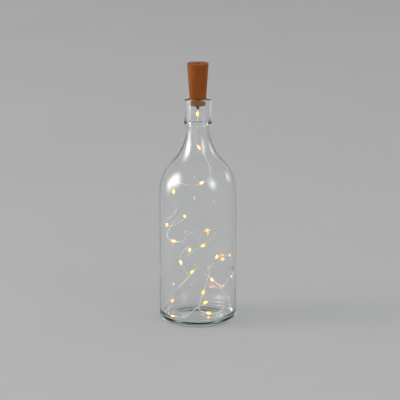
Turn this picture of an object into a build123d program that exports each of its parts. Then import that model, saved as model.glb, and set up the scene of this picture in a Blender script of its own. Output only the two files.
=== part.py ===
"""Cork bottle light: a clear glass bottle closed by a tapered stopper that holds three button cells
and feeds a thin wire of resin-drop lights lying in loose loops inside the bottle.

Millimetres, +Z up. The origin is the centre of the ring that the bottle stands on.
"""

import os
from math import atan2, cos, pi, radians, sin, tan

from build123d import *

# Bottle
BOTTLE_HEIGHT = 241.5
BODY_DIAMETER = 82.0
BODY_WALL = 3.2
HEEL_RADIUS = 6.0
BASE_THICKNESS = 5.0
PUNT_DEPTH = 2.5
BEARING_RING_WIDTH = 6.0
INNER_HEEL_RADIUS = 6.0
FLOOR_CROWN = 1.5
SHOULDER_LENGTH = 71.0
SHOULDER_RADIUS = 44.0
NECK_LENGTH = 1.5
NECK_WALL = 2.85
COLLAR_LENGTH = 28.0
COLLAR_WALL = 5.2
COLLAR_BEAD_RISE = 0.75
COLLAR_BEAD_HEIGHT = 4.5
COLLAR_EDGE_RADIUS = 1.6
LIP_RADIUS = 2.4
MOUTH_EDGE_RADIUS = 1.2

# Blank domed boss moulded low on the bottle's wall
BOSS_DIAMETER = 12.0
BOSS_RISE = 1.5
BOSS_ROOT_DEPTH = 1.2
BOSS_HEIGHT = 56.0
BOSS_BEARING = 64.0

# Button cells and the cradle that carries them
CELL_DIAMETER = 11.6
CELL_HEIGHT = 5.4
CELL_COUNT = 3
CELL_CAP_DIAMETER = 9.4
CELL_CAP_HEIGHT = 0.4
CELL_EDGE_RADIUS = 0.35
CELL_CLEARANCE = 0.15
CARRIER_WALL = 1.05
CARRIER_FLOOR = 2.0
CARRIER_WEB = 2.0
CARRIER_CLEARANCE = 0.1
CARRIER_LEAD_IN = 0.6
BAY_HEIGHT = 7.1
LEDGE_WIDTH = 0.95
CELL_SIDE_START = 1.5

# Contacts inside the stopper
RIVET_HEAD_DIAMETER = 7.2
RIVET_HEAD_THICKNESS = 0.5
RIVET_SHANK_DIAMETER = 2.0
SPRING_HEIGHT = 3.4
SPRING_WIRE = 0.5
SPRING_TURNS = 3
SPRING_FOOT_DIAMETER = 6.0
SPRING_HEAD_DIAMETER = 8.0
PLATE_DIAMETER = 9.0
PLATE_THICKNESS = 0.4
PIN_DIAMETER = 1.2
STRIP_WIDTH = 1.6
STRIP_THICKNESS = 0.3
STRIP_RECESS = 0.5
STRIP_SIDE_CLEARANCE = 0.05
STRIP_FOOT_LENGTH = 2.0
STRIP_TAB_LENGTH = 2.4
SHEET_THICKNESS = 0.3
CONTACT_HEIGHT = 0.9
CONTACT_CLEARANCE = 0.05
CENTRE_FLANGE_DIAMETER = 5.2
CENTRE_CROWN_DIAMETER = 2.8
RING_OUTER_DIAMETER = 12.8
RING_WIDTH = 1.8

# Board, slide switch and cap at the stopper's top
BOARD_THICKNESS = 1.0
BOARD_CLEARANCE = 0.1
RESISTOR_LENGTH = 2.0
RESISTOR_WIDTH = 1.25
RESISTOR_THICKNESS = 0.5
RESISTOR_OFFSET = 2.6
SWITCH_LENGTH = 8.0
SWITCH_WIDTH = 3.6
SWITCH_HEIGHT = 2.8
SWITCH_WALL = 0.6
SWITCH_TRAVEL = 2.0
SWITCH_CLEARANCE = 0.15
KNOB_LENGTH = 1.8
KNOB_WIDTH = 1.5
KNOB_EDGE_RADIUS = 0.25
CAP_THICKNESS = 2.6
CAP_CLEARANCE = 0.1
CAP_EDGE_RADIUS = 0.4
CAP_SPIGOT_DEPTH = 0.8
DISH_DEPTH = 0.9
DISH_MARGIN = 1.5
KNOB_BELOW_TOP = 0.4

# Tapered stopper
SHELL_WALL = 1.4
SHELL_FLOOR = 4.5
STOPPER_TAPER = 4.1
STOPPER_INSERT = 6.2
SEAT_CLEARANCE = 0.1
CAP_RIM = 1.8
SHELL_TOP_RADIUS = 0.7
SHELL_FOOT_RADIUS = 0.9
NAIL_NOTCH_WIDTH = 7.0
NAIL_NOTCH_DEPTH = 2.0

# Strain relief under the stopper
BUSH_LENGTH = 4.5
BUSH_ROOT_DIAMETER = 5.0
BUSH_TIP_DIAMETER = 2.4
BUSH_STEM_DIAMETER = 4.0

# Light wire and its resin drops
WIRE_DIAMETER = 0.8
BEND_SHARE = 0.45
DROP_LENGTH = 6.0
DROP_DIAMETER = 3.3
DROP_BORE_CLEARANCE = 0.1
CHIP_LENGTH = 1.6
CHIP_WIDTH = 1.4
CHIP_RISE = 0.95

# Route of the wire, as distances to the right, to the back and down from the point where it leaves the
# strain relief. The first light hangs just below that point. Each later light has a stretch of its own,
# given by its two ends, with the light halfway, and the last light ends the wire. A third point is one
# more bend on the way to the next stretch.
FIRST_LIGHT_DROP = 5.0
FIRST_CORNER_DROP = 12.0
LIGHT_STRETCHES = [
    ((-6, 2, 31), (9, -2, 52)),
    ((16, -13, 72), (-8, -28, 78)),
    ((-26, -10, 74), (-25, -2, 102)),
    ((-37, -5, 123), (-31, 21, 135)),
    ((-14, 22, 126), (-15, 1, 112), (-28, -6, 123)),
    ((-34, -12, 138), (-16, -30, 138)),
    ((-3, -36, 124), (22, -24, 124)),
    ((17, -8, 139), (-7, -20, 151)),
    ((-13, -6, 162), (-5, 20, 151)),
    ((-24, 29, 163), (-14, 18, 186)),
    ((7, 20, 184), (24, 3, 197), (33, -3, 188)),
    ((35, 0, 163), (17, -22, 159)),
    ((4, -32, 157), (-15, -29, 182)),
    ((-21, -27, 199), (-32, -11, 210)),
    ((-33, -12, 222), (-19, -30, 222)),
    ((-4, -33, 210), (20, -32, 196), (31, -15, 207)),
    ((23, -17, 221), (0, -6, 221)),
    ((2, 18, 219), (10, 34, 200)),
    ((15, 32, 180), (21, 27, 169)),
]

# Levels above the stopper's foot, stacked from its floor to its top
contact_top = SHELL_FLOOR + CONTACT_HEIGHT
strip_foot = contact_top + CONTACT_CLEARANCE
carrier_foot = strip_foot + STRIP_THICKNESS
chamber_floor = carrier_foot + CARRIER_FLOOR
spring_foot = chamber_floor + RIVET_HEAD_THICKNESS
cells_foot = spring_foot + SPRING_HEIGHT
cells_top = cells_foot + CELL_COUNT * CELL_HEIGHT
chamber_top = cells_top + PLATE_THICKNESS
bay_floor = chamber_top + CARRIER_WEB
board_foot = bay_floor + BAY_HEIGHT
board_top = board_foot + BOARD_THICKNESS
switch_top = board_top + SWITCH_HEIGHT
cap_foot = switch_top + CAP_SPIGOT_DEPTH
stopper_length = cap_foot + CAP_THICKNESS

# Radii, from the cells outwards to the bottle's collar
chamber_radius = CELL_DIAMETER / 2 + CELL_CLEARANCE
carrier_radius = chamber_radius + CARRIER_WALL
socket_radius = carrier_radius + CARRIER_CLEARANCE
ledge_radius = chamber_radius - LEDGE_WIDTH
board_radius = chamber_radius - BOARD_CLEARANCE


def stopper_radius(level):
    """Outer radius of the tapered stopper at a level above its foot."""
    return socket_radius + SHELL_WALL + (level - SHELL_FLOOR) * tan(radians(STOPPER_TAPER))


bore_radius = stopper_radius(STOPPER_INSERT) + SEAT_CLEARANCE
neck_radius = bore_radius + NECK_WALL
collar_radius = bore_radius + COLLAR_WALL
recess_radius = stopper_radius(cap_foot) - CAP_RIM
cap_radius = recess_radius - CAP_CLEARANCE

# Heights of the bottle, from its mouth down, and of the stopper in it
collar_foot = BOTTLE_HEIGHT - COLLAR_LENGTH
neck_foot = collar_foot - NECK_LENGTH
shoulder_foot = neck_foot - SHOULDER_LENGTH
stopper_foot = BOTTLE_HEIGHT - MOUTH_EDGE_RADIUS - STOPPER_INSERT

# Upright planes through the stopper's axis, whose second coordinate is a level above its foot
stopper_section = Plane((0, 0, stopper_foot), x_dir=(1, 0, 0), z_dir=(0, -1, 0))
stopper_side = Plane((0, 0, stopper_foot), x_dir=(0, 1, 0), z_dir=(1, 0, 0))


def stopper_level(level):
    """Flat plane at a level above the stopper's foot."""
    return Plane.XY.offset(stopper_foot + level)


os.makedirs("parts", exist_ok=True)


def save(piece, name):
    """Name a finished piece and write it."""
    piece.part.label = name
    export_step(piece.part, f"parts/{name}.step")


# Glass bottle

body_radius = BODY_DIAMETER / 2
inner_radius = body_radius - BODY_WALL
ring_radius = body_radius - HEEL_RADIUS


def shoulder_turn(body, shoulder, neck):
    """Point where the round shoulder runs over into the hollow curve below the neck."""
    step = neck - body + shoulder
    hollow = (step**2 + SHOULDER_LENGTH**2 - shoulder**2) / (2 * (shoulder - step))
    rise = atan2(SHOULDER_LENGTH, step + hollow)
    return (body - shoulder + shoulder * cos(rise), shoulder_foot + shoulder * sin(rise))


outer_turn = shoulder_turn(body_radius, SHOULDER_RADIUS, neck_radius)
inner_turn = shoulder_turn(inner_radius, SHOULDER_RADIUS - BODY_WALL, bore_radius)

# Bead round the collar's foot, which runs over into the collar in a small ogee
bead_radius = collar_radius + COLLAR_BEAD_RISE
bead_level = collar_foot + COLLAR_EDGE_RADIUS
bead_top = collar_foot + COLLAR_BEAD_HEIGHT
bead_turn = ((bead_radius + collar_radius) / 2, (bead_level + bead_top) / 2)

# Section of the boss, with its first coordinate straight out of the wall
boss_out = Vector(sin(radians(BOSS_BEARING)), -cos(radians(BOSS_BEARING)), 0)
boss_root = boss_out * (body_radius - BOSS_ROOT_DEPTH) + Vector(0, 0, BOSS_HEIGHT)
boss_section = Plane(boss_root, x_dir=boss_out, z_dir=boss_out.cross(Vector(0, 0, 1)))

with BuildPart() as glass_bottle:
    with BuildSketch(Plane.XZ):
        with BuildLine():
            punt = TangentArc((0, PUNT_DEPTH), (ring_radius - BEARING_RING_WIDTH, 0), tangent=(1, 0))
            ring = Line(punt @ 1, (ring_radius, 0))
            heel = TangentArc(ring @ 1, (body_radius, HEEL_RADIUS), tangent=(1, 0))
            wall = Line(heel @ 1, (body_radius, shoulder_foot))
            shoulder = TangentArc(wall @ 1, outer_turn, tangent=(0, 1))
            hollow = TangentArc(shoulder @ 1, (neck_radius, neck_foot), tangent=shoulder % 1)
            neck = Line(hollow @ 1, (neck_radius, collar_foot))
            underside = Line(neck @ 1, (bead_radius - COLLAR_EDGE_RADIUS, collar_foot))
            edge = TangentArc(underside @ 1, (bead_radius, bead_level), tangent=(1, 0))
            bead = TangentArc(edge @ 1, bead_turn, tangent=(0, 1))
            waist = TangentArc(bead @ 1, (collar_radius, bead_top), tangent=bead % 1)
            collar = Line(waist @ 1, (collar_radius, BOTTLE_HEIGHT - LIP_RADIUS))
            lip = TangentArc(collar @ 1, (collar_radius - LIP_RADIUS, BOTTLE_HEIGHT), tangent=(0, 1))
            rim = Line(lip @ 1, (bore_radius + MOUTH_EDGE_RADIUS, BOTTLE_HEIGHT))
            mouth = TangentArc(
                rim @ 1, (bore_radius, BOTTLE_HEIGHT - MOUTH_EDGE_RADIUS), tangent=(-1, 0)
            )
            bore = Line(mouth @ 1, (bore_radius, neck_foot))
            inner_hollow = TangentArc(bore @ 1, inner_turn, tangent=(0, -1))
            inner_shoulder = TangentArc(
                inner_hollow @ 1, (inner_radius, shoulder_foot), tangent=inner_hollow % 1
            )
            inner_wall = Line(inner_shoulder @ 1, (inner_radius, BASE_THICKNESS + INNER_HEEL_RADIUS))
            inner_heel = TangentArc(
                inner_wall @ 1, (inner_radius - INNER_HEEL_RADIUS, BASE_THICKNESS), tangent=(0, -1)
            )
            TangentArc((0, BASE_THICKNESS + FLOOR_CROWN), inner_heel @ 1, tangent=(1, 0))
            Line((0, BASE_THICKNESS + FLOOR_CROWN), punt @ 0)
        make_face()
    revolve(axis=Axis.Z)
    with BuildSketch(boss_section):
        with BuildLine():
            dome = TangentArc(
                (BOSS_ROOT_DEPTH + BOSS_RISE, 0), (BOSS_ROOT_DEPTH, BOSS_DIAMETER / 2), tangent=(0, 1)
            )
            Polyline(dome @ 1, (0, BOSS_DIAMETER / 2), (0, 0), dome @ 0)
        make_face()
    revolve(axis=Axis(boss_root, boss_out))
save(glass_bottle, "glass_bottle")

# Stopper's shell, a tapered sleeve with a stepped socket

with BuildPart() as cork_shell:
    with BuildSketch(stopper_section):
        Polygon(
            (BUSH_STEM_DIAMETER / 2, 0),
            (stopper_radius(0), 0),
            (stopper_radius(stopper_length), stopper_length),
            (recess_radius, stopper_length),
            (recess_radius, cap_foot),
            (socket_radius, cap_foot),
            (socket_radius, SHELL_FLOOR),
            (BUSH_STEM_DIAMETER / 2, SHELL_FLOOR),
            align=None,
        )
    revolve(axis=Axis.Z)
    fillet(cork_shell.edges().group_by(Axis.Z)[-1].sort_by(SortBy.RADIUS)[-1], SHELL_TOP_RADIUS)
    fillet(cork_shell.edges().group_by(Axis.Z)[0].sort_by(SortBy.RADIUS)[-1], SHELL_FOOT_RADIUS)
    with BuildSketch(stopper_section):
        with Locations((0, stopper_length)):
            Ellipse(NAIL_NOTCH_WIDTH / 2, NAIL_NOTCH_DEPTH)
    extrude(amount=-2 * stopper_radius(stopper_length), mode=Mode.SUBTRACT)
save(cork_shell, "cork_shell")

# Strain relief in the shell's floor, bored for the wire

wire_radius = WIRE_DIAMETER / 2

with BuildPart() as wire_bush:
    with BuildSketch(stopper_section):
        Polygon(
            (wire_radius, -BUSH_LENGTH),
            (BUSH_TIP_DIAMETER / 2, -BUSH_LENGTH),
            (BUSH_ROOT_DIAMETER / 2, 0),
            (BUSH_STEM_DIAMETER / 2, 0),
            (BUSH_STEM_DIAMETER / 2, SHELL_FLOOR),
            (wire_radius, SHELL_FLOOR),
            align=None,
        )
    revolve(axis=Axis.Z)
save(wire_bush, "wire_bush")

# Two contacts pressed from sheet, on the shell's floor

with BuildPart() as contact_centre:
    with BuildSketch(stopper_section):
        Polygon(
            (0, SHELL_FLOOR),
            (CENTRE_FLANGE_DIAMETER / 2, SHELL_FLOOR),
            (CENTRE_FLANGE_DIAMETER / 2, SHELL_FLOOR + SHEET_THICKNESS),
            (CENTRE_CROWN_DIAMETER / 2, SHELL_FLOOR + SHEET_THICKNESS),
            (CENTRE_CROWN_DIAMETER / 2, contact_top),
            (0, contact_top),
            align=None,
        )
    revolve(axis=Axis.Z)
save(contact_centre, "contact_centre")

ring_outer = RING_OUTER_DIAMETER / 2
ring_inner = ring_outer - RING_WIDTH

with BuildPart() as contact_ring:
    with BuildSketch(stopper_section):
        Polygon(
            (ring_inner, SHELL_FLOOR),
            (ring_inner, contact_top),
            (ring_outer, contact_top),
            (ring_outer, SHELL_FLOOR),
            (ring_outer - SHEET_THICKNESS, SHELL_FLOOR),
            (ring_outer - SHEET_THICKNESS, contact_top - SHEET_THICKNESS),
            (ring_inner + SHEET_THICKNESS, contact_top - SHEET_THICKNESS),
            (ring_inner + SHEET_THICKNESS, SHELL_FLOOR),
            align=None,
        )
    revolve(axis=Axis.Z)
save(contact_ring, "contact_ring")

# Battery carrier: cell chamber open to the front, electronics bay above it, strip groove at the back

strip_outer = carrier_radius - STRIP_RECESS + STRIP_THICKNESS
strip_inner = carrier_radius - STRIP_RECESS
groove_width = STRIP_WIDTH + 2 * STRIP_SIDE_CLEARANCE

with BuildPart() as battery_carrier:
    with BuildSketch(stopper_section):
        Polygon(
            (RIVET_SHANK_DIAMETER / 2, carrier_foot),
            (carrier_radius, carrier_foot),
            (carrier_radius, cap_foot),
            (chamber_radius, cap_foot),
            (chamber_radius, board_foot),
            (ledge_radius, board_foot),
            (ledge_radius, bay_floor),
            (PIN_DIAMETER / 2, bay_floor),
            (PIN_DIAMETER / 2, chamber_top),
            (chamber_radius, chamber_top),
            (chamber_radius, chamber_floor),
            (RIVET_SHANK_DIAMETER / 2, chamber_floor),
            align=None,
        )
    revolve(axis=Axis.Z)
    chamfer(battery_carrier.edges().group_by(Axis.Z)[0].sort_by(SortBy.RADIUS)[-1], CARRIER_LEAD_IN)
    with BuildSketch(stopper_section.offset(CELL_SIDE_START)):
        with Locations((0, chamber_floor)):
            Rectangle(2 * chamber_radius, chamber_top - chamber_floor, align=(Align.CENTER, Align.MIN))
    extrude(amount=carrier_radius, mode=Mode.SUBTRACT)
    with BuildSketch(stopper_side):
        with Locations((strip_inner, carrier_foot)):
            Rectangle(2 * STRIP_RECESS, board_foot - carrier_foot, align=(Align.MIN, Align.MIN))
        with Locations((0, board_foot)):
            Rectangle(carrier_radius, STRIP_THICKNESS, align=(Align.MIN, Align.MAX))
    extrude(amount=groove_width / 2, both=True, mode=Mode.SUBTRACT)
save(battery_carrier, "battery_carrier")

# Button cells, each with its small cap downwards

for number in range(CELL_COUNT):
    cell_foot = cells_foot + number * CELL_HEIGHT
    with BuildPart() as cell:
        with BuildSketch(stopper_section):
            Polygon(
                (0, cell_foot),
                (CELL_CAP_DIAMETER / 2, cell_foot),
                (CELL_CAP_DIAMETER / 2, cell_foot + CELL_CAP_HEIGHT),
                (CELL_DIAMETER / 2, cell_foot + CELL_CAP_HEIGHT),
                (CELL_DIAMETER / 2, cell_foot + CELL_HEIGHT),
                (0, cell_foot + CELL_HEIGHT),
                align=None,
            )
        revolve(axis=Axis.Z)
        fillet(cell.edges().group_by(Axis.Z)[-1], CELL_EDGE_RADIUS)
    save(cell, f"cell_{number + 1}")

# Contacts of the cell stack: rivet and spring below, plate and pin above

with BuildPart() as negative_rivet:
    with BuildSketch(stopper_section):
        Polygon(
            (0, strip_foot),
            (RIVET_SHANK_DIAMETER / 2, strip_foot),
            (RIVET_SHANK_DIAMETER / 2, chamber_floor),
            (RIVET_HEAD_DIAMETER / 2, chamber_floor),
            (RIVET_HEAD_DIAMETER / 2, spring_foot),
            (0, spring_foot),
            align=None,
        )
    revolve(axis=Axis.Z)
save(negative_rivet, "negative_rivet")

spring_low = stopper_foot + spring_foot + SPRING_WIRE / 2 + CONTACT_CLEARANCE
spring_high = stopper_foot + cells_foot - SPRING_WIRE / 2 - CONTACT_CLEARANCE


def spring_point(turns):
    """Point on the conical coil after a number of turns from its foot."""
    share = turns / SPRING_TURNS
    radius = (SPRING_FOOT_DIAMETER + share * (SPRING_HEAD_DIAMETER - SPRING_FOOT_DIAMETER)) / 2
    angle = 2 * pi * turns
    return Vector(radius * cos(angle), radius * sin(angle), spring_low + share * (spring_high - spring_low))


with BuildPart() as negative_spring:
    with BuildLine() as coil:
        for quarter in range(4 * SPRING_TURNS):
            turns = quarter / 4
            ThreePointArc(spring_point(turns), spring_point(turns + 1 / 8), spring_point(turns + 1 / 4))
    with BuildSketch(Plane(coil.wires()[0] @ 0, z_dir=coil.wires()[0] % 0)):
        Circle(SPRING_WIRE / 2)
    sweep()
save(negative_spring, "negative_spring")

turn_steps = [step / 16 for step in range(16 * (SPRING_TURNS - 1))]
least_pitch = min((spring_point(turns + 1) - spring_point(turns)).length for turns in turn_steps)
print(f"spring: least gap between turns {least_pitch - SPRING_WIRE:.2f} mm")

with BuildPart() as positive_contact:
    with BuildSketch(stopper_section):
        Polygon(
            (0, cells_top),
            (PLATE_DIAMETER / 2, cells_top),
            (PLATE_DIAMETER / 2, chamber_top),
            (PIN_DIAMETER / 2, chamber_top),
            (PIN_DIAMETER / 2, board_foot),
            (0, board_foot),
            align=None,
        )
    revolve(axis=Axis.Z)
save(positive_contact, "positive_contact")

with BuildPart() as bus_strip:
    with BuildSketch(stopper_side):
        Polygon(
            (strip_outer, strip_foot),
            (strip_outer, board_foot),
            (strip_outer - STRIP_TAB_LENGTH, board_foot),
            (strip_outer - STRIP_TAB_LENGTH, board_foot - STRIP_THICKNESS),
            (strip_inner, board_foot - STRIP_THICKNESS),
            (strip_inner, carrier_foot),
            (strip_outer - STRIP_FOOT_LENGTH, carrier_foot),
            (strip_outer - STRIP_FOOT_LENGTH, strip_foot),
            align=None,
        )
    extrude(amount=STRIP_WIDTH / 2, both=True)
save(bus_strip, "bus_strip")

# Board with its resistor underneath

with BuildPart() as circuit_board:
    with BuildSketch(stopper_level(board_foot)):
        Circle(board_radius)
    extrude(amount=BOARD_THICKNESS)
save(circuit_board, "circuit_board")

with BuildPart() as series_resistor:
    with BuildSketch(stopper_level(board_foot)):
        with Locations((-RESISTOR_OFFSET, 0)):
            Rectangle(RESISTOR_LENGTH, RESISTOR_WIDTH)
    extrude(amount=-RESISTOR_THICKNESS)
save(series_resistor, "series_resistor")

# Slide switch: a hollow can on the board, and the knob whose foot slides in it

cavity_length = SWITCH_LENGTH - 2 * SWITCH_WALL
cavity_width = SWITCH_WIDTH - 2 * SWITCH_WALL
cavity_height = SWITCH_HEIGHT - 2 * SWITCH_WALL
cavity_floor = board_top + SWITCH_WALL
slot_length = KNOB_LENGTH + SWITCH_TRAVEL + 2 * SWITCH_CLEARANCE
slot_width = KNOB_WIDTH + 2 * SWITCH_CLEARANCE
knob_foot = cavity_floor + SWITCH_CLEARANCE
knob_foot_height = cavity_height - 2 * SWITCH_CLEARANCE
knob_top = stopper_length - KNOB_BELOW_TOP

with BuildPart() as switch_body:
    with BuildSketch(stopper_level(board_top)):
        Rectangle(SWITCH_LENGTH, SWITCH_WIDTH)
    extrude(amount=SWITCH_HEIGHT)
    with BuildSketch(stopper_level(cavity_floor)):
        Rectangle(cavity_length, cavity_width)
    extrude(amount=cavity_height, mode=Mode.SUBTRACT)
    with BuildSketch(stopper_level(switch_top)):
        Rectangle(slot_length, slot_width)
    extrude(amount=-SWITCH_WALL, mode=Mode.SUBTRACT)
save(switch_body, "switch_body")

with BuildPart() as switch_knob:
    with BuildSketch(stopper_level(knob_foot)):
        with Locations((SWITCH_TRAVEL / 2, 0)):
            Rectangle(
                cavity_length - SWITCH_TRAVEL - 2 * SWITCH_CLEARANCE,
                cavity_width - 2 * SWITCH_CLEARANCE,
            )
    extrude(amount=knob_foot_height)
    with BuildSketch(stopper_level(knob_foot + knob_foot_height)):
        with Locations((SWITCH_TRAVEL / 2, 0)):
            Rectangle(KNOB_LENGTH, KNOB_WIDTH)
    extrude(amount=knob_top - knob_foot - knob_foot_height)
    fillet(switch_knob.edges().group_by(Axis.Z)[-1], KNOB_EDGE_RADIUS)
save(switch_knob, "switch_knob")

# Cap: a disc flush with the stopper's top, with a spigot in the carrier and a dished slot for the knob

with BuildPart() as top_cap:
    with BuildSketch(stopper_level(cap_foot)):
        Circle(cap_radius)
    extrude(amount=CAP_THICKNESS)
    fillet(top_cap.edges().group_by(Axis.Z)[-1], CAP_EDGE_RADIUS)
    with BuildSketch(stopper_level(cap_foot)):
        Circle(board_radius)
    extrude(amount=-CAP_SPIGOT_DEPTH)
    with BuildSketch(stopper_level(stopper_length)):
        SlotOverall(slot_length + 2 * DISH_MARGIN, slot_width + 2 * DISH_MARGIN)
    extrude(amount=-DISH_DEPTH, mode=Mode.SUBTRACT)
    with BuildSketch(stopper_level(stopper_length)):
        Rectangle(slot_length, slot_width)
    extrude(amount=-CAP_THICKNESS - CAP_SPIGOT_DEPTH, mode=Mode.SUBTRACT)
save(top_cap, "top_cap")

# Light wire: straight runs joined by arcs as large as the runs allow

wire_exit = Vector(0, 0, stopper_foot - BUSH_LENGTH)
wire_root = Vector(0, 0, stopper_foot + SHELL_FLOOR)


def route_point(right, back, down):
    """Place of a route point that is given from the wire's exit."""
    return wire_exit + Vector(right, back, -down)


first_corner = route_point(0, 0, FIRST_CORNER_DROP)
stretches = [[route_point(*point) for point in stretch] for stretch in LIGHT_STRETCHES]
route = [wire_root, first_corner] + [point for stretch in stretches for point in stretch]


def bend_radius(before, corner, after):
    """Largest arc at a corner that leaves a tenth of the shorter run straight."""
    turn = radians((corner - before).get_angle(after - corner))
    shorter = min((corner - before).length, (after - corner).length)
    return BEND_SHARE * shorter / tan(turn / 2)


bend_radii = [bend_radius(*route[index - 1 : index + 2]) for index in range(1, len(route) - 1)]

with BuildPart() as light_wire:
    with BuildLine() as wire_line:
        FilletPolyline(*route, radius=bend_radii)
    with BuildSketch(Plane(wire_root, z_dir=(0, 0, -1))):
        Circle(wire_radius)
    sweep()
save(light_wire, "light_wire")

wire_length = sum(edge.length for edge in wire_line.edges())
tube_share = light_wire.part.volume / (pi * wire_radius**2 * wire_length)
print("wire: bend radii", [round(radius, 1) for radius in bend_radii])
print(f"wire: length {wire_length:.1f} mm, volume over section times length {tube_share:.5f}")

# Lights: a resin drop round the wire, with a chip that straddles it

wire_path = wire_line.wires()[0]
first_distance = (wire_root - wire_exit).length + FIRST_LIGHT_DROP
lights = [
    (
        wire_path.position_at(first_distance, position_mode=PositionMode.LENGTH),
        wire_path.tangent_at(first_distance, position_mode=PositionMode.LENGTH),
    )
]
for start, end, *bend in stretches:
    middle = end if end == route[-1] else (start + end) * 0.5
    lights.append((middle, (end - start).normalized()))

for number, (middle, along) in enumerate(lights, start=1):
    is_on_way = number < len(lights)
    across_wire = Plane(middle, z_dir=along)
    beside = across_wire.x_dir
    with BuildPart() as led_drop:
        with BuildSketch(Plane(middle, x_dir=beside, z_dir=beside.cross(along))):
            with BuildLine():
                EllipticalCenterArc((0, 0), DROP_DIAMETER / 2, DROP_LENGTH / 2, -90, arc_size=180)
                Line((0, DROP_LENGTH / 2), (0, -DROP_LENGTH / 2))
            make_face()
        revolve(axis=Axis(middle, along))
        with BuildSketch(across_wire):
            Circle(wire_radius + DROP_BORE_CLEARANCE)
        extrude(amount=-DROP_LENGTH, both=is_on_way, mode=Mode.SUBTRACT)
        with BuildSketch(Plane(middle, x_dir=along, z_dir=beside)):
            Rectangle(CHIP_LENGTH, CHIP_WIDTH)
        extrude(amount=CHIP_RISE, mode=Mode.SUBTRACT)
    save(led_drop, f"led_drop_{number:02d}")
    with BuildPart() as led_chip:
        with BuildSketch(Plane(middle, x_dir=along, z_dir=beside)):
            Rectangle(CHIP_LENGTH, CHIP_WIDTH)
        extrude(amount=CHIP_RISE)
        with BuildSketch(across_wire):
            Circle(wire_radius + DROP_BORE_CLEARANCE)
        extrude(amount=-DROP_LENGTH, both=is_on_way, mode=Mode.SUBTRACT)
    save(led_chip, f"led_chip_{number:02d}")
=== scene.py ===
# %% [markdown]
# # Cork bottle light
# A clear glass bottle is closed by a tapered brown stopper. The stopper hides three button cells and a
# switch, and feeds a thin twin wire of glowing resin drops that lies in loose loops inside the bottle.
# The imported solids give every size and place. This lesson dresses them: it makes the wire, the drops and
# the glass as fine meshes, gives every piece its finish, and lights the whole as a small studio would.

# %% Load the frame
from math import atan2, ceil, cos, hypot, pi, radians, sin

import bmesh
import bpy
import numpy as np
from mathutils import Matrix, Vector


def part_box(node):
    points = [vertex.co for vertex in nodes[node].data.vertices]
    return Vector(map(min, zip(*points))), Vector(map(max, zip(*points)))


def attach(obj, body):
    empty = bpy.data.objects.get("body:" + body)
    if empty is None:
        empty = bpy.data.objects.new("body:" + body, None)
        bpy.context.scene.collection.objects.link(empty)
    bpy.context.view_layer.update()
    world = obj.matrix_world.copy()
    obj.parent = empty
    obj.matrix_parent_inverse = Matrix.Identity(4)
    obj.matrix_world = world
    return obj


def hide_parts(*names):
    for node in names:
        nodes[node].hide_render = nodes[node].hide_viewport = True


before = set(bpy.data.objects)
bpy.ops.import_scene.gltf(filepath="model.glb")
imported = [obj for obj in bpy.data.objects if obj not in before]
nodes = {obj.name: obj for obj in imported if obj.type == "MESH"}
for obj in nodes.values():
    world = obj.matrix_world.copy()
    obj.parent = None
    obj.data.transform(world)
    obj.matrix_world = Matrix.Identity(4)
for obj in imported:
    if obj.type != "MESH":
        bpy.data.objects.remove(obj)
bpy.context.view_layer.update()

MM = 0.001

# %% [markdown]
# ## Camera
# The picture looks down on the bottle from above its mouth, through a long lens, so its sides stay almost
# parallel. A camera can be aimed by hand until it looks right. Here distance, height, tilt and focal
# length were worked out from the widths and ellipses in the picture, so they are simply written down.

# %% Place the camera
PICTURE_SIDE = 400
FOCAL_PIXELS = 2134.6
AXIS_COLUMN = 197.9
CAMERA_DISTANCE = 2200 * MM
CAMERA_HEIGHT = 700 * MM
CAMERA_TILT = radians(14.51)

camera_data = bpy.data.cameras.new("camera")
camera_data.lens = camera_data.sensor_width * FOCAL_PIXELS / PICTURE_SIDE
camera = bpy.data.objects.new("camera", camera_data)
metres_per_pixel = hypot(CAMERA_DISTANCE, CAMERA_HEIGHT) / FOCAL_PIXELS
camera.location = ((PICTURE_SIDE / 2 - AXIS_COLUMN) * metres_per_pixel, -CAMERA_DISTANCE, CAMERA_HEIGHT)
camera.rotation_euler = (pi / 2 - CAMERA_TILT, 0, 0)
bpy.context.scene.collection.objects.link(camera)
bpy.context.scene.camera = camera
print("camera: lens", round(camera_data.lens, 1), "mm")
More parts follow.
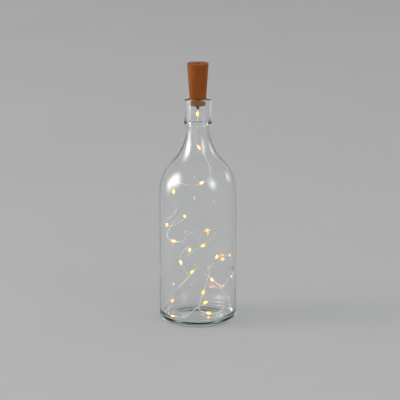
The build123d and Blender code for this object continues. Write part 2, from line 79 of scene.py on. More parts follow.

# %% [markdown]
# ## Route of the light wire
# The wire leaves the stopper's strain relief, falls through the neck and then wanders round the inside of
# the bottle, springy enough to keep the bends it was pushed in with. Straight runs and arcs would need a
# radius for every bend, so its line is a NURBS spline: each control point pulls the curve towards itself,
# and a few given points give one smooth line with no corners. A light sits halfway between the
# first two points of each stretch, where an order 3 spline touches the straight line between them. The last
# stretch
# carries its light at its end.

# %% Choose the wire's points
WIRE_DIAMETER = 0.8 * MM
STRAIGHT_BELOW_EXIT = 5
FIRST_CORNER_DROP = 12
FIRST_LIGHT_DROP = 5
LIGHT_STRETCHES = [
    ((-6, 2, 31), (9, -2, 52)),
    ((16, -13, 72), (-8, -28, 78)),
    ((-26, -10, 74), (-25, -2, 102), (-22, -2, 111)),
    ((-37, -5, 123), (-31, 21, 135)),
    ((-14, 22, 126), (-15, 1, 112), (-28, -6, 123)),
    ((-34, -12, 138), (-16, -30, 138), (-12, -33, 128)),
    ((-3, -36, 124), (22, -24, 124)),
    ((17, -8, 139), (-7, -20, 151)),
    ((-13, -6, 162), (-5, 20, 151)),
    ((-22, 27, 167), (-16, 20, 182), (-10, 17, 187), (-3, 20, 180)),
    ((7, 20, 184), (24, 3, 197), (33, -3, 188)),
    ((35, 0, 163), (17, -22, 159)),
    ((4, -32, 157), (-15, -29, 182), (-22, -28, 189)),
    ((-26, -22, 199), (-27, -16, 210), (-31, -15, 217)),
    ((-30, -18, 222), (-22, -24, 222), (-13, -29, 221)),
    ((-4, -33, 210), (20, -32, 196), (31, -15, 207)),
    ((23, -17, 221), (0, -6, 221)),
    ((2, 18, 219), (10, 34, 200)),
    ((15, 32, 180), (21, 27, 169)),
]
wire_exit = Vector((0, 0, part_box("wire_bush")[0][2]))
wire_root = Vector((0, 0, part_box("light_wire")[1][2]))


def route_point(right, back, down):
    """Place of a route point that is given in millimetres from the wire's exit."""
    return wire_exit + Vector((right, back, -down)) * MM


stretches = [[route_point(*point) for point in stretch] for stretch in LIGHT_STRETCHES]
route = [wire_root, route_point(0, 0, STRAIGHT_BELOW_EXIT), route_point(0, 0, FIRST_CORNER_DROP)]
route += [point for stretch in stretches for point in stretch]
print("route:", len(route), "points")

# %% Lay a spline through them and read it back as a line
wire_curve = bpy.data.curves.new("wire_line", "CURVE")
wire_curve.dimensions = "3D"
wire_curve.resolution_u = 36
spline = wire_curve.splines.new("NURBS")
spline.points.add(len(route) - 1)
for control, point in zip(spline.points, route):
    control.co = (*point, 1)
spline.order_u = 3
spline.use_endpoint_u = True

wire_object = bpy.data.objects.new("wire_line", wire_curve)
bpy.context.scene.collection.objects.link(wire_object)
bpy.context.view_layer.update()
line_mesh = bpy.data.meshes.new_from_object(wire_object)
line = np.array([vertex.co for vertex in line_mesh.vertices])
bpy.data.objects.remove(wire_object)


def directions_of(points):
    """Unit directions along a row of points."""
    steps = np.gradient(points, axis=0)
    return steps / np.linalg.norm(steps, axis=1)[:, None]


line_directions = directions_of(line)
along_line = np.concatenate([[0], np.cumsum(np.linalg.norm(np.diff(line, axis=0), axis=1))])

# %% [markdown]
# ## Finishes
# Every surface here has some life in it: moulded plastic drifts a little in tone, rolled metal has faint
# scratches, varnish pools. An even colour would hide that, and a picture of a surface would only fit one
# piece, so one helper makes each material from two tones of the same colour. Noise in the piece's own
# coordinates picks between the tones, and a second noise roughens the shine and raises a fine bump.
# Whatever is the same all over the piece, such as metalness, is set straight on the shader.

# %% Helpers for nodes and noise
NOISE_DETAIL = 3.0


def add_node(owner, kind, **inputs):
    """Add a shader node to a material or a lamp, and set its plain inputs by name."""
    node = owner.node_tree.nodes.new("ShaderNode" + kind)
    for name, value in inputs.items():
        node.inputs[name.replace("_", " ")].default_value = value
    return node


def grain_noise(material, grain, stretch=(1, 1, 1)):
    """Noise in the piece's own coordinates, with grains of a given size in metres."""
    link = material.node_tree.links.new
    place = add_node(material, "TexCoord")
    mapping = add_node(material, "Mapping", Scale=[factor / grain for factor in stretch])
    noise = add_node(material, "TexNoise", Scale=1.0, Detail=NOISE_DETAIL)
    link(place.outputs["Object"], mapping.inputs["Vector"])
    link(mapping.outputs["Vector"], noise.inputs["Vector"])
    return noise.outputs["Fac"]


print("helpers: nodes and noise")

# %% A helper for finishes
DARK_BELOW, LIGHT_ABOVE = 0.3, 0.7
FINE_GRAIN = 0.25
BUMP_STRENGTH = 0.5


def finish(name, dark, light, grain, roughness, stretch=(1, 1, 1), bump=0.0, **even):
    """A material between two tones, with a drifting roughness, a fine bump and even shader settings."""
    material = bpy.data.materials.new(name)
    material.use_nodes = True
    link = material.node_tree.links.new
    shader = material.node_tree.nodes["Principled BSDF"]
    tones = add_node(material, "ValToRGB")
    low, high = tones.color_ramp.elements
    low.color, low.position = (*dark, 1), DARK_BELOW
    high.color, high.position = (*light, 1), LIGHT_ABOVE
    link(grain_noise(material, grain, stretch), tones.inputs["Fac"])
    link(tones.outputs["Color"], shader.inputs["Base Color"])
    fine = grain_noise(material, grain * FINE_GRAIN, stretch)
    shine = add_node(material, "MapRange", To_Min=roughness[0], To_Max=roughness[1])
    link(fine, shine.inputs["Value"])
    link(shine.outputs["Result"], shader.inputs["Roughness"])
    if bump:
        relief = add_node(material, "Bump", Strength=BUMP_STRENGTH, Distance=bump)
        link(fine, relief.inputs["Height"])
        link(relief.outputs["Normal"], shader.inputs["Normal"])
    for socket, value in even.items():
        shader.inputs[socket.replace("_", " ")].default_value = value
    return material


wire_finish = finish(
    "varnished_silver_wire",
    dark=(0.84, 0.82, 0.78),
    light=(0.95, 0.94, 0.91),
    grain=1.5 * MM,
    roughness=(0.28, 0.46),
    Metallic=0.35,
)
print("finish:", wire_finish.name)

# %% [markdown]
# ## Twin wire
# The real wire is two varnished strands, silver over copper, twisted loosely round each other. A bevelled
# curve would give one smooth tube, so each strand is a tube of its own that follows the line at a small
# offset. The offset is carried from point to point without spin, and the twist is added on top.

# %% Helpers for tubes
def carried_sides(directions):
    """A sideways direction at every point, carried along so that it never spins about the line."""
    side = np.array(Vector(directions[0]).orthogonal().normalized())
    sides = []
    for direction in directions:
        side = side - direction * side.dot(direction)
        side = side / np.linalg.norm(side)
        sides.append(side)
    return np.array(sides)


def ring_round(mesh, centre, side, other, radius, count):
    """A ring of vertices about a centre, in the plane of two directions."""
    turns = [2 * pi * k / count for k in range(count)]
    return [mesh.verts.new(centre + radius * (cos(turn) * side + sin(turn) * other)) for turn in turns]


def join_rings(mesh, rings, closed_ends=True):
    """Skin a row of equal rings of vertices, and close its two ends."""
    count = len(rings[0])
    for ring, following in zip(rings, rings[1:]):
        for k in range(count):
            j = (k + 1) % count
            mesh.faces.new((ring[k], ring[j], following[j], following[k]))
    if closed_ends:
        mesh.faces.new(rings[0][::-1])
        mesh.faces.new(rings[-1])


print("helpers: sides, rings and skins")

# %% A helper for pieces
def piece(name, mesh, finishes, body):
    """Turn a finished bmesh into a named, smooth piece that rides on a body."""
    bmesh.ops.recalc_face_normals(mesh, faces=mesh.faces)
    data = bpy.data.meshes.new(name)
    mesh.to_mesh(data)
    mesh.free()
    data.shade_smooth()
    for material in finishes:
        data.materials.append(material)
    made = bpy.data.objects.new(name, data)
    bpy.context.scene.collection.objects.link(made)
    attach(made, body)
    return made


print("helper: pieces")

# %% Twist two strands along the line
STRAND_RADIUS = WIRE_DIAMETER / 4
TWIST_PITCH = 9 * MM
STRAND_SIDES = 8

line_sides = carried_sides(line_directions)
line_others = np.cross(line_directions, line_sides)
twist = (2 * pi * along_line / TWIST_PITCH)[:, None]
strand_offset = STRAND_RADIUS * (np.cos(twist) * line_sides + np.sin(twist) * line_others)
strands = bmesh.new()
for half in (1, -1):
    centres = line + half * strand_offset
    directions = directions_of(centres)
    sides = carried_sides(directions)
    others = np.cross(directions, sides)
    spots = zip(centres, sides, others)
    join_rings(strands, [ring_round(strands, *spot, STRAND_RADIUS, STRAND_SIDES) for spot in spots])
twin_wire = piece("twin_wire", strands, [wire_finish], "stopper")
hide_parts("light_wire")
print("twin wire:", len(twin_wire.data.polygons), "faces")

# %% [markdown]
# ## Where the lights sit
# Each light is a chip soldered across the two strands. Placed by eye it could hang beside the wire, so
# its place is read from the line: the point nearest to the spot halfway between the first two points of
# its stretch. Its direction is the line's there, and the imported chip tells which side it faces. The first
# light hangs just below the stopper, and the last one closes the wire's end.

# %% Find each light's place, direction and side
light_spots = [route_point(0, 0, FIRST_LIGHT_DROP)]
light_spots += [(start + end) / 2 for start, end, *bends in stretches[:-1]] + [stretches[-1][1]]


def light_frame(number, spot):
    """Place on the line, direction along it, and the side the chip faces."""
    nearest = int(np.argmin(np.linalg.norm(line - np.array(spot), axis=1)))
    place, along = Vector(line[nearest]), Vector(line_directions[nearest])
    low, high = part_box(f"led_chip_{number:02d}")
    up = (Vector(low) + Vector(high)) / 2 - Vector(spot)
    up = (up - along * up.dot(along)).normalized()
    return place, along, up


light_frames = {number: light_frame(number, spot) for number, spot in enumerate(light_spots, start=1)}
print("lights:", len(light_frames))

# %% [markdown]
# ## Glowing chips
# Inside every drop sits a white chip under a bead of yellow gel that glows. It could be a single glowing
# box, but then the drop would show one even blob. A slender bead, drawn out along the wire, gives the
# long hot core and softer rim that such a light has. The pale case under it lets some of the glow
# through, so a light that faces away is lit too. All chips are one mesh, because they share two finishes
# and never move apart.

# %% Finish case and gel
GLOW_COLOUR = (1.0, 0.58, 0.19, 1)
GEL_GLOW = 18.0
CASE_GLOW = 2.5

case_finish = finish(
    "chip_case",
    dark=(0.78, 0.74, 0.66),
    light=(0.86, 0.82, 0.74),
    grain=0.6 * MM,
    roughness=(0.4, 0.55),
    Emission_Color=GLOW_COLOUR,
    Emission_Strength=CASE_GLOW,
)
gel_finish = finish(
    "glowing_gel",
    dark=(0.95, 0.62, 0.18),
    light=(1.0, 0.74, 0.28),
    grain=0.5 * MM,
    roughness=(0.3, 0.5),
    Emission_Color=GLOW_COLOUR,
    Emission_Strength=GEL_GLOW,
)
print("finishes:", case_finish.name, "and", gel_finish.name)

# %% Shape a case and a bead
CASE_LENGTH, CASE_WIDTH = 1.6 * MM, 1.4 * MM
CASE_FOOT, CASE_TOP = 0.1 * MM, 0.55 * MM
CASE_EDGE = 0.12 * MM
GEL_LENGTH, GEL_RADIUS, GEL_LIFT = 3.2 * MM, 0.34 * MM, 0.5 * MM
GEL_TIP, GEL_TAPER = 0.03, 0.7


def case_block(mesh, light):
    """A block with softened edges that stands on the wire."""
    place, along, up = light
    stand = Matrix.Translation(place) @ Matrix((along, up.cross(along), up)).transposed().to_4x4()
    shape = stand @ Matrix.Translation((0, 0, (CASE_FOOT + CASE_TOP) / 2))
    shape = shape @ Matrix.Diagonal((CASE_LENGTH, CASE_WIDTH, CASE_TOP - CASE_FOOT, 1))
    made = bmesh.ops.create_cube(mesh, size=1.0, matrix=shape)
    edges = list(dict.fromkeys(edge for vertex in made["verts"] for edge in vertex.link_edges))
    bmesh.ops.bevel(mesh, geom=edges, offset=CASE_EDGE, segments=2, affect="EDGES", profile=0.5)


def spindle(mesh, light, length, radius_at, lift, count, sides):
    """Rings along the wire, closed into a spindle. It rises to one side by the lift at its middle."""
    place, along, up = light
    across = np.array(up.cross(along))
    rings = []
    for step in range(count + 1):
        share = -cos(pi * step / count)
        centre = place + along * (share * length / 2) + up * (lift * (1 - share * share))
        rings.append(ring_round(mesh, np.array(centre), np.array(up), across, radius_at(share), sides))
    join_rings(mesh, rings)


def gel_radius(share):
    """Radius of a bead of gel at a share of its half length from the middle."""
    return GEL_RADIUS * max(GEL_TIP, 1 - share * share) ** GEL_TAPER


print("gel: beads of", round(GEL_LENGTH / MM, 1), "mm")

# %% Build the chips
GEL_RINGS, GEL_SIDES = 12, 12

chips = bmesh.new()
for light in light_frames.values():
    case_block(chips, light)
    before_gel = set(chips.faces)
    spindle(chips, light, GEL_LENGTH, gel_radius, GEL_LIFT, GEL_RINGS, GEL_SIDES)
    for face in set(chips.faces) - before_gel:
        face.material_index = 1
light_chips = piece("light_chips", chips, [case_finish, gel_finish], "stopper")
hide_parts(*[f"led_chip_{number:02d}" for number in light_frames])
print("chips:", len(light_chips.data.polygons), "faces")

# %% [markdown]
# ## Resin drops
# A bead of clear resin seals each chip. It was a liquid drop on a wire, so it is a plump spindle that
# draws out thin where it wets the strands, and it sags to the chip's side. A scaled sphere would miss the
# drawn-out ends. Rings along the wire with a radius from a formula give them, and small steady
# differences keep the drops from looking stamped.

# %% Build the drops
DROP_LENGTH = 6.0 * MM
DROP_RADIUS = 1.65 * MM
DROP_END_RADIUS = WIRE_DIAMETER / 2
DROP_TAPER = 1.3
DROP_SAG = 0.22 * MM
DROP_DIFFERENCE, DROP_TURN = 0.03, 2.4
DROP_RINGS, DROP_SIDES = 22, 24

# The drops' orange tone and faint glow are painted light. The resin itself is clear, and the tone and glow
# stand in for the chip's light spreading through it.
resin_glow_finish = finish(
    "resin_painted_glow",
    dark=(1.0, 0.52, 0.17),
    light=(1.0, 0.63, 0.27),
    grain=1.2 * MM,
    roughness=(0.02, 0.08),
    Transmission_Weight=1.0,
    IOR=1.52,
    Emission_Color=(1.0, 0.36, 0.04, 1),
    Emission_Strength=0.55,
)


def drop_radius(number):
    """A rule for the radius of one drop, which is a little fuller or slimmer than the others."""
    fullness = DROP_DIFFERENCE * sin(DROP_TURN * number)

    def radius_at(share):
        """Radius at a share of the drop's half length from its middle."""
        bulge = 1 - share * share
        radius = DROP_END_RADIUS + (DROP_RADIUS - DROP_END_RADIUS) * bulge**DROP_TAPER
        return radius * (1 + fullness * bulge)

    return radius_at


for number, light in light_frames.items():
    bead = bmesh.new()
    spindle(bead, light, DROP_LENGTH, drop_radius(number), DROP_SAG, DROP_RINGS, DROP_SIDES)
    drop = piece(f"resin_drop_{number:02d}", bead, [resin_glow_finish], "stopper")
    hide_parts(f"led_drop_{number:02d}")

# %% [markdown]
# ## The wire's pieces
# To Blender the strands, chips and drops are only meshes, and each of them rides on the stopper.

# %% [markdown]
# ## Glass bottle
# The bottle was blown in a mould: a thick heel, even walls, a round shoulder that swings into the neck,
# and a heavy collar for the closure. Glass is judged by how it bends what is behind it, so its walls are
# one closed skin with an outside and an inside, turned from one section. The section is made of arcs and
# straight lines, as the mould was.

# %% Write down the bottle's sizes in millimetres
bottle_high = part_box("glass_bottle")[1]
BODY_RADIUS = bottle_high[0] / MM
BOTTLE_HEIGHT = bottle_high[2] / MM
BODY_WALL = 3.2
HEEL_RADIUS = 6.0
BASE_THICKNESS = 5.0
PUNT_DEPTH = 2.5
BEARING_RING_WIDTH = 6.0
INNER_HEEL_RADIUS = 6.0
FLOOR_CROWN = 1.5
SHOULDER_LENGTH = 71.0
SHOULDER_RADIUS = 44.0
NECK_LENGTH = 1.5
BORE_RADIUS = 8.72
NECK_RADIUS = 11.57
NECK_ROOT_RADIUS = 0.9
COLLAR_RADIUS = 13.92
COLLAR_LENGTH = 28.0
COLLAR_EDGE_RADIUS = 1.6
BEAD_RADIUS = 14.67
BEAD_HEIGHT = 4.5
LIP_RADIUS = 2.4
MOUTH_EDGE_RADIUS = 1.2

collar_foot = BOTTLE_HEIGHT - COLLAR_LENGTH
neck_foot = collar_foot - NECK_LENGTH
shoulder_foot = neck_foot - SHOULDER_LENGTH
ring_radius = BODY_RADIUS - HEEL_RADIUS
inner_radius = BODY_RADIUS - BODY_WALL
print("bottle:", round(2 * BODY_RADIUS, 1), "by", round(BOTTLE_HEIGHT, 1), "mm")

# %% Curves of the section
ARC_STEP = 3.0
LEAST_ARC_STEPS = 3


def arc(centre, radius, start, end):
    """Points on an arc of the section, from one angle to another in degrees."""
    count = max(LEAST_ARC_STEPS, ceil(abs(end - start) / ARC_STEP))
    angles = [radians(angle) for angle in np.linspace(start, end, count + 1)]
    return [(centre[0] + radius * cos(angle), centre[1] + radius * sin(angle)) for angle in angles]


def crown(top, edge):
    """A shallow round cap from a point on the axis to its edge."""
    rise = top - edge[1]
    radius = (edge[0] ** 2 + rise**2) / (2 * rise)
    edge_angle = np.degrees(atan2(edge[1] - top + radius, edge[0]))
    return [(0.0, top)] + arc((0, top - radius), radius, 90, edge_angle)[1:]


def ogee(body, shoulder, neck):
    """The shoulder's round part, and the hollow curve from it into the neck."""
    step = neck - body + shoulder
    hollow = (step**2 + SHOULDER_LENGTH**2 - shoulder**2) / (2 * (shoulder - step))
    rise = np.degrees(atan2(SHOULDER_LENGTH, step + hollow))
    round_part = arc((body - shoulder, shoulder_foot), shoulder, 0, rise)
    return round_part + arc((neck + hollow, neck_foot), hollow, 180 + rise, 180)[1:]


print("curves: arc, crown and ogee")

# %% Draw the section
bead_level, bead_top = collar_foot + COLLAR_EDGE_RADIUS, collar_foot + BEAD_HEIGHT
half_step, half_rise = (BEAD_RADIUS - COLLAR_RADIUS) / 2, (bead_top - bead_level) / 2
bead_curve = (half_step**2 + half_rise**2) / (2 * half_step)
bead_swing = np.degrees(atan2(half_rise, bead_curve - half_step))
outside = crown(PUNT_DEPTH, (ring_radius - BEARING_RING_WIDTH, 0))
outside += arc((ring_radius, HEEL_RADIUS), HEEL_RADIUS, -90, 0)
outside += ogee(BODY_RADIUS, SHOULDER_RADIUS, NECK_RADIUS)
outside += arc((NECK_RADIUS + NECK_ROOT_RADIUS, collar_foot - NECK_ROOT_RADIUS), NECK_ROOT_RADIUS, 180, 90)
outside += arc((BEAD_RADIUS - COLLAR_EDGE_RADIUS, bead_level), COLLAR_EDGE_RADIUS, -90, 0)
outside += arc((BEAD_RADIUS - bead_curve, bead_level), bead_curve, 0, bead_swing)[1:]
outside += arc((COLLAR_RADIUS + bead_curve, bead_top), bead_curve, 180 + bead_swing, 180)[1:]
outside += arc((COLLAR_RADIUS - LIP_RADIUS, BOTTLE_HEIGHT - LIP_RADIUS), LIP_RADIUS, 0, 90)

heel_centre = (inner_radius - INNER_HEEL_RADIUS, BASE_THICKNESS + INNER_HEEL_RADIUS)
mouth_centre = (BORE_RADIUS + MOUTH_EDGE_RADIUS, BOTTLE_HEIGHT - MOUTH_EDGE_RADIUS)
inside = crown(BASE_THICKNESS + FLOOR_CROWN, (inner_radius - INNER_HEEL_RADIUS, BASE_THICKNESS))
inside += arc(heel_centre, INNER_HEEL_RADIUS, -90, 0)[1:]
inside += ogee(inner_radius, SHOULDER_RADIUS - BODY_WALL, BORE_RADIUS)
inside += arc(mouth_centre, MOUTH_EDGE_RADIUS, 180, 90)
print("section:", len(outside), "points outside,", len(inside), "inside")

# %% [markdown]
# ## Marks of the mould
# Real glass isn't perfect. A round boss stands low on the wall, the two halves of the mould leave a faint
# seam, and the inside, which no mould touches, ripples a little. A plain turned skin would show none of
# it, so each point of the skin is nudged along its radius by three small formulas, with closer rows where
# they need them.

# %% Choose rows and turns
BOSS_BEARING = 64.0
BOSS_HEIGHT = 56.0
BOSS_RADIUS = 6.0
SEAM_ANGLES = (4.0, 184.0)
ROW_STEP, FINE_ROW_STEP = 2.5, 0.6
FINE_ROW_REACH = 1.8 * BOSS_RADIUS
TURN_STEP = 2.5
BOSS_SPAN, BOSS_TURN_STEP = 14.0, 0.8
SEAM_SPAN, SEAM_TURN_STEP = 2.4, 0.4
LEAST_TURN = 0.7
TINY = 1e-6

boss_angle = BOSS_BEARING - 90


def close_rows(points, near_boss):
    """Split long straight stretches, most of all beside the boss."""
    rows = [points[0]]
    for start, end in zip(points, points[1:]):
        length = hypot(end[0] - start[0], end[1] - start[1])
        shares = [0.0]
        while shares[-1] * length < length - TINY:
            level = start[1] + shares[-1] * (end[1] - start[1])
            fine = near_boss and abs(level - BOSS_HEIGHT) < FINE_ROW_REACH
            step = FINE_ROW_STEP if fine else ROW_STEP
            shares.append(min(1.0, shares[-1] + step / max(length, TINY)))
        for share in shares[1:]:
            rows.append((start[0] + share * (end[0] - start[0]), start[1] + share * (end[1] - start[1])))
    return rows


def fan(middle, span, step):
    """Even angles on both sides of a middle, in degrees."""
    return [middle + off for off in np.arange(-span, span + step / 8, step)]


def turn_angles():
    """Angles about the axis, with close ones at the boss and the seams."""
    fine = fan(boss_angle, BOSS_SPAN, BOSS_TURN_STEP)
    for seam in SEAM_ANGLES:
        fine += fan(seam, SEAM_SPAN, SEAM_TURN_STEP)
    fine = [(angle + 180) % 360 - 180 for angle in fine]
    coarse = np.arange(-180, 180, TURN_STEP)
    kept = [angle for angle in coarse if min(abs(angle - other) for other in fine) > LEAST_TURN]
    return sorted(radians(angle) for angle in kept + fine)


outside_rows, inside_rows = close_rows(outside, True), close_rows(inside, False)
angles = turn_angles()
print("skin:", len(outside_rows) + len(inside_rows), "rows of", len(angles), "points")

# %% Ripple the glass
RIPPLE_WAVES = [(1.0, 2, 47, 0.6), (0.7, 3, -23, 1.9), (0.5, 5, 14, 4.0), (0.4, 2, 8.5, 0.0)]

wave_reach = sum(strength for strength, *rest in RIPPLE_WAVES)


def wave(angle, level):
    """A slow ripple, between -1 and 1, that closes on itself round the bottle."""
    swing = 0.0
    for strength, count, rise, start in RIPPLE_WAVES:
        swing += strength * sin(count * angle + level / rise + start)
    return swing / wave_reach


print("ripple:", len(RIPPLE_WAVES), "waves")

# %% Nudge the outer skin
BOSS_RISE = 1.5
BOSS_EDGE = 0.4
SEAM_RISE = 0.06
SEAM_WIDTH = 0.35
OUTER_RIPPLE = 0.022

dome_radius = (BOSS_RADIUS**2 + BOSS_RISE**2) / (2 * BOSS_RISE)


def outside_point(radius, level, angle):
    """A point of the outer skin, with the boss, the seam and a trace of ripple."""
    apart = angle - radians(boss_angle)
    sideways, upright = radius * sin(apart), level - BOSS_HEIGHT
    off_centre = hypot(sideways, upright)
    if off_centre < BOSS_RADIUS and cos(apart) > 0:
        dome = (dome_radius**2 - off_centre**2) ** 0.5 - dome_radius + BOSS_RISE
        share = min(1.0, (BOSS_RADIUS - off_centre) / BOSS_EDGE)
        radius += share * (hypot(BODY_RADIUS + dome, sideways) - radius)
    if HEEL_RADIUS < level < BOTTLE_HEIGHT - LIP_RADIUS:
        for seam in SEAM_ANGLES:
            if cos(angle - radians(seam)) > 0:
                off_seam = radius * sin(angle - radians(seam))
                radius += SEAM_RISE * np.exp(-((off_seam / SEAM_WIDTH) ** 2))
    if HEEL_RADIUS < level < neck_foot:
        radius += OUTER_RIPPLE * wave(angle, level)
    return Vector((radius * cos(angle), radius * sin(angle), level)) * MM


print("boss: stands", BOSS_RISE, "mm out of the wall")

# %% Nudge the inner skin
INNER_RIPPLE = 0.11
INNER_RIPPLE_TURN, INNER_RIPPLE_LIFT = 0.7, 11
FADE_ABOVE_FLOOR, FADE_BELOW_NECK = 25, 30


def inside_point(radius, level, angle):
    """A point of the inner skin, with its ripple fading out at the floor and in the neck."""
    fade = np.clip((level - BASE_THICKNESS) / FADE_ABOVE_FLOOR, 0, 1)
    fade *= np.clip((neck_foot - level) / FADE_BELOW_NECK, 0, 1)
    if radius > 0:
        radius += INNER_RIPPLE * fade * wave(angle + INNER_RIPPLE_TURN, level + INNER_RIPPLE_LIFT)
    return Vector((radius * cos(angle), radius * sin(angle), level)) * MM


print("inner ripple: up to", INNER_RIPPLE, "mm")

# %% Turn the section into a skin
def turned(mesh, rows, point):
    """Turn rows of the section about the axis. The first row is a single point on it."""
    pole = mesh.verts.new(point(*rows[0], 0.0))
    rings = [[mesh.verts.new(point(*row, angle)) for angle in angles] for row in rows[1:]]
    for k in range(len(angles)):
        mesh.faces.new((pole, rings[0][k - 1], rings[0][k]))
    join_rings(mesh, rings, closed_ends=False)
    return rings[-1]


skin = bmesh.new()
outer_rim = turned(skin, outside_rows, outside_point)
inner_rim = turned(skin, inside_rows, inside_point)
join_rings(skin, [outer_rim, inner_rim], closed_ends=False)
print("skin:", len(skin.faces), "faces")

# %% [markdown]
# ## Clear glass
# Bottle glass is colourless in a thin wall and blue-green where you look through a lot of it, such as
# along the base. A tinted surface would colour thin and thick alike, so the surface stays clear and the
# tint is an absorbing volume inside the skin. What the eye sees is bent as real glass bends it. The light
# that falls on the floor goes straight through and loses a little at each face, which gives the soft grey
# shadow of a bottle without a patchwork of glare.

# %% Make the glass
SMEAR_GRAIN = 30 * MM

glass_finish = bpy.data.materials.new("bottle_glass")
glass_finish.use_nodes = True
glass_nodes = glass_finish.node_tree.nodes
glass_link = glass_finish.node_tree.links.new
glass_shader = glass_nodes["Principled BSDF"]
glass_shader.inputs["Base Color"].default_value = (1, 1, 1, 1)
glass_shader.inputs["Transmission Weight"].default_value = 1.0
glass_shader.inputs["IOR"].default_value = 1.52
smear = add_node(glass_finish, "MapRange", From_Min=0.45, From_Max=0.8, To_Min=0.0, To_Max=0.06)
glass_link(grain_noise(glass_finish, SMEAR_GRAIN), smear.inputs["Value"])
glass_link(smear.outputs["Result"], glass_shader.inputs["Roughness"])
tint = add_node(glass_finish, "VolumeAbsorption", Color=(0.62, 0.90, 0.87, 1), Density=9.0)
glass_link(tint.outputs["Volume"], glass_nodes["Material Output"].inputs["Volume"])
print("glass: clear, with a tint inside")

# %% Let the floor's light straight through
SHARP_ANGLE = radians(35)

passing = add_node(glass_finish, "BsdfTransparent", Color=(0.90, 0.92, 0.92, 1))
ray = add_node(glass_finish, "LightPath")
surface = glass_shader.outputs["BSDF"]
for kind_of_ray in ("Is Diffuse Ray", "Is Shadow Ray"):
    mix = add_node(glass_finish, "MixShader")
    glass_link(ray.outputs[kind_of_ray], mix.inputs[0])
    glass_link(surface, mix.inputs[1])
    glass_link(passing.outputs["BSDF"], mix.inputs[2])
    surface = mix.outputs["Shader"]
glass_link(surface, glass_nodes["Material Output"].inputs["Surface"])

bottle = piece("bottle_glass", skin, [glass_finish], "bottle")
bottle.data.set_sharp_from_angle(angle=SHARP_ANGLE)
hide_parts("glass_bottle")
print("bottle:", len(bottle.data.polygons), "faces")

# %% [markdown]
# ## Stopper
# The stopper is one smooth moulding in a caramel brown, with a cap of the same plastic in its top. Its
# solids already have the right shape, so they only need the finish: two close browns that drift in long
# upright streaks, as the melt flowed, with a satin sheen.

# %% Finish the stopper
def paint(material, *names):
    """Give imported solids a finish."""
    for name in names:
        nodes[name].data.materials.clear()
        nodes[name].data.materials.append(material)
    print(material.name, "on", *names)


stopper_finish = finish(
    "stopper_brown",
    dark=(0.25, 0.064, 0.005),
    light=(0.31, 0.084, 0.008),
    grain=5 * MM,
    roughness=(0.42, 0.54),
    stretch=(1, 1, 0.25),
    bump=0.02 * MM,
    Specular_IOR_Level=0.15,
)
bush_finish = finish(
    "bush_rubber",
    dark=(0.05, 0.03, 0.02),
    light=(0.09, 0.055, 0.035),
    grain=1 * MM,
    roughness=(0.6, 0.75),
    bump=0.03 * MM,
)
paint(stopper_finish, "cork_shell", "top_cap")
paint(bush_finish, "wire_bush")

# %% [markdown]
# ## Works inside the stopper
# These show when the carrier is pulled out: a black cradle, bright cells, plated contacts, a green board
# with its resistor, and the switch. Their solids stay as packed. Each metal differs in tone and in how
# its scratches run.

# %% Finish the metals
cell_finish = finish(
    "cell_steel",
    dark=(0.56, 0.57, 0.58),
    light=(0.72, 0.73, 0.74),
    grain=3 * MM,
    roughness=(0.16, 0.3),
    stretch=(0.3, 0.3, 6),
    Metallic=1.0,
)
contact_finish = finish(
    "contact_nickel",
    dark=(0.58, 0.54, 0.46),
    light=(0.74, 0.70, 0.61),
    grain=1.5 * MM,
    roughness=(0.2, 0.36),
    Metallic=1.0,
)
spring_finish = finish(
    "spring_steel",
    dark=(0.50, 0.50, 0.50),
    light=(0.68, 0.68, 0.67),
    grain=0.8 * MM,
    roughness=(0.2, 0.34),
    Metallic=1.0,
)
switch_finish = finish(
    "switch_steel",
    dark=(0.52, 0.53, 0.54),
    light=(0.66, 0.67, 0.68),
    grain=1.5 * MM,
    roughness=(0.28, 0.42),
    stretch=(0.2, 3, 3),
    Metallic=1.0,
)
paint(cell_finish, "cell_1", "cell_2", "cell_3")
paint(contact_finish, "contact_centre", "contact_ring", "positive_contact", "negative_rivet", "bus_strip")
paint(spring_finish, "negative_spring")
paint(switch_finish, "switch_body")

# %% Finish cradle, board, resistor and knob
carrier_finish = finish(
    "carrier_black",
    dark=(0.016, 0.016, 0.017),
    light=(0.03, 0.03, 0.032),
    grain=2 * MM,
    roughness=(0.42, 0.58),
    bump=0.02 * MM,
)
board_finish = finish(
    "board_green",
    dark=(0.012, 0.10, 0.045),
    light=(0.022, 0.16, 0.075),
    grain=1.2 * MM,
    roughness=(0.2, 0.34),
    Coat_Weight=0.5,
)
resistor_finish = finish(
    "resistor_black",
    dark=(0.012, 0.012, 0.014),
    light=(0.03, 0.03, 0.034),
    grain=0.6 * MM,
    roughness=(0.3, 0.45),
)
knob_finish = finish(
    "knob_black",
    dark=(0.012, 0.012, 0.012),
    light=(0.024, 0.024, 0.024),
    grain=0.8 * MM,
    roughness=(0.38, 0.5),
    bump=0.02 * MM,
)
paint(carrier_finish, "battery_carrier")
paint(board_finish, "circuit_board")
paint(resistor_finish, "series_resistor")
paint(knob_finish, "switch_knob")

# %% [markdown]
# ## Floor and world
# Glass shows its surroundings more than itself. A pale floor shows through the walls, and the dimmer
# world darkens the edges, so that the outline reads. A backdrop with walls could do the same, but a large
# floor looks alike from all sides. It lies a hair below the bottle, so that the two faces don't fight.

# %% Set up floor and world
FLOOR_HALF = 6.0
FLOOR_GAP = 0.05 * MM
WORLD_GREY = (0.5, 0.5, 0.5, 1)
WORLD_STRENGTH = 0.94

scene = bpy.context.scene
scene.view_settings.view_transform = "Standard"

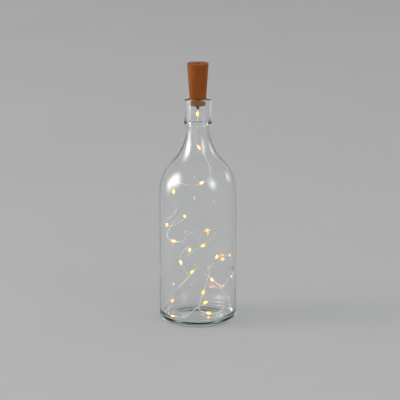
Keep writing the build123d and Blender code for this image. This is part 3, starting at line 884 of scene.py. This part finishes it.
floor_finish = finish(
    "floor_paper",
    dark=(0.52, 0.52, 0.52),
    light=(0.54, 0.54, 0.54),
    grain=0.4,
    roughness=(0.85, 0.95),
)
floor_mesh = bmesh.new()
bmesh.ops.create_grid(floor_mesh, x_segments=1, y_segments=1, size=FLOOR_HALF)
floor_data = bpy.data.meshes.new("floor")
floor_mesh.to_mesh(floor_data)
floor_mesh.free()
floor_data.materials.append(floor_finish)
floor = bpy.data.objects.new("floor", floor_data)
floor.location = (0, 0, -FLOOR_GAP)
scene.collection.objects.link(floor)

world = bpy.data.worlds.new("studio")
scene.world = world
world.use_nodes = True
world.node_tree.nodes["Background"].inputs["Color"].default_value = WORLD_GREY
world.node_tree.nodes["Background"].inputs["Strength"].default_value = WORLD_STRENGTH
print("floor:", 2 * FLOOR_HALF, "m wide")

# %% [markdown]
# ## Lamps
# Bare lamps would be hard points in the glass, so the light comes from soft boxes that fade towards their
# edges: a large one on the left for everything, a small one close by that lies along the collar and neck
# as a highlight and lights nothing else, a weaker one on the right against the shade, and a faint one
# behind for the boss.

# %% Hang the soft boxes
def soft_box(name, place, size, power):
    """A soft box that looks at the bottle's middle, and fades from its own middle to its edges."""
    lamp = bpy.data.lights.new(name, "AREA")
    lamp.shape = "RECTANGLE"
    lamp.size, lamp.size_y = size
    lamp.energy = power
    lamp.use_nodes = True
    link = lamp.node_tree.links.new
    spot = add_node(lamp, "NewGeometry")
    from_middle = add_node(lamp, "Mapping", Location=(-1, -1, 0), Scale=(2, 2, 1))
    fade = add_node(lamp, "TexGradient")
    fade.gradient_type = "QUADRATIC_SPHERE"
    link(spot.outputs["Parametric"], from_middle.inputs["Vector"])
    link(from_middle.outputs["Vector"], fade.inputs["Vector"])
    link(fade.outputs["Fac"], lamp.node_tree.nodes["Emission"].inputs["Strength"])
    made = bpy.data.objects.new(name, lamp)
    made.location = place
    aim = Vector((0, 0, BOTTLE_HEIGHT / 2 * MM)) - Vector(place)
    made.rotation_euler = aim.to_track_quat("-Z", "Y").to_euler()
    made.visible_camera = False
    scene.collection.objects.link(made)
    return made


soft_box("key", place=(-5.1, -0.6, 2.5), size=(6.3, 5.4), power=1440)
strip = soft_box("strip", place=(-0.6, 0.08, 0.24), size=(0.5, 0.54), power=6.5)
strip.visible_diffuse = False
soft_box("fill", place=(2.4, -2.0, 1.6), size=(2.6, 3.2), power=200)
soft_box("rim", place=(2.8, 1.7, 0.9), size=(1.8, 1.4), power=26)
print("lamps:", len(bpy.data.lights), "soft boxes")
